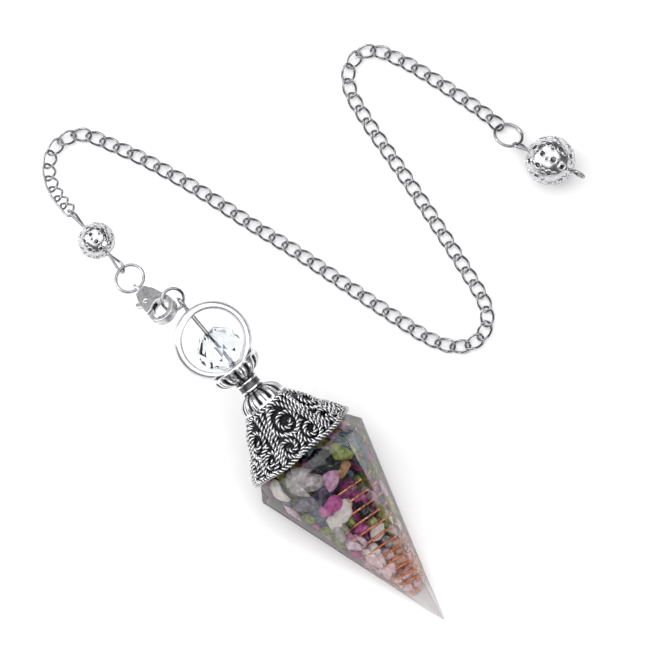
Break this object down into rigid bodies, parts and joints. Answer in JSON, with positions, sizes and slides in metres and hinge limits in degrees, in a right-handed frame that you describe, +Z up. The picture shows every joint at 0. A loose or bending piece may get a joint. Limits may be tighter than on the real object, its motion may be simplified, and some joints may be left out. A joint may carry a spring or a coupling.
{
  "type": "pendulum pendant on a chain",
  "caption": "Faceted resin point filled with stone chips and a copper coil, under a scrollwork bell cap, hanging from a curb chain with a lobster clasp and pierced end beads",
  "frame": {"origin": "centre of the resin point's resting facet, on the surface that it lies on", "axes": "Z up from the surface, X to the right and Y away from the viewer as the picture is taken"},
  "size_m": [0.1034, 0.1116, 0.0228],
  "materials": {
    "resin": "clear, polished",
    "stone": "tumbled, polished",
    "copper": "bright copper",
    "antique_silver": "blackened in the recesses, bright on the relief",
    "silver": "polished silver plate",
    "cut_glass": "clear, faceted"
  },
  "bodies": {
    "pendant": {"resin_point": "resin", "gem_chips": "stone", "copper_coil": "copper", "bell_cap": "antique_silver", "lower_flower_cap": "silver", "spacer_ring": "silver", "upper_flower_cap": "silver", "frame_ring": "silver", "glass_bead": "cut_glass", "long_pin": "silver", "small_ring": "silver", "clasp_body": "silver", "front_ring": "silver", "small_ball": "silver", "small_ball_pin": "silver", "chain": "silver", "end_ring": "silver", "large_ball": "silver", "large_ball_pin": "silver"},
    "clasp_lever": {"clasp_lever": "silver"}
  },
  "joints": [
    {"name": "clasp_lever_hinge", "type": "hinge", "parent": "pendant", "child": "clasp_lever", "pos_m": [-0.03852, 0.03727, 0.01858], "axis": [-0.4561, 0.2601, 0.8511], "range_deg": [0, 14], "stiffness_Nm_per_rad": 0.001}
  ]
}
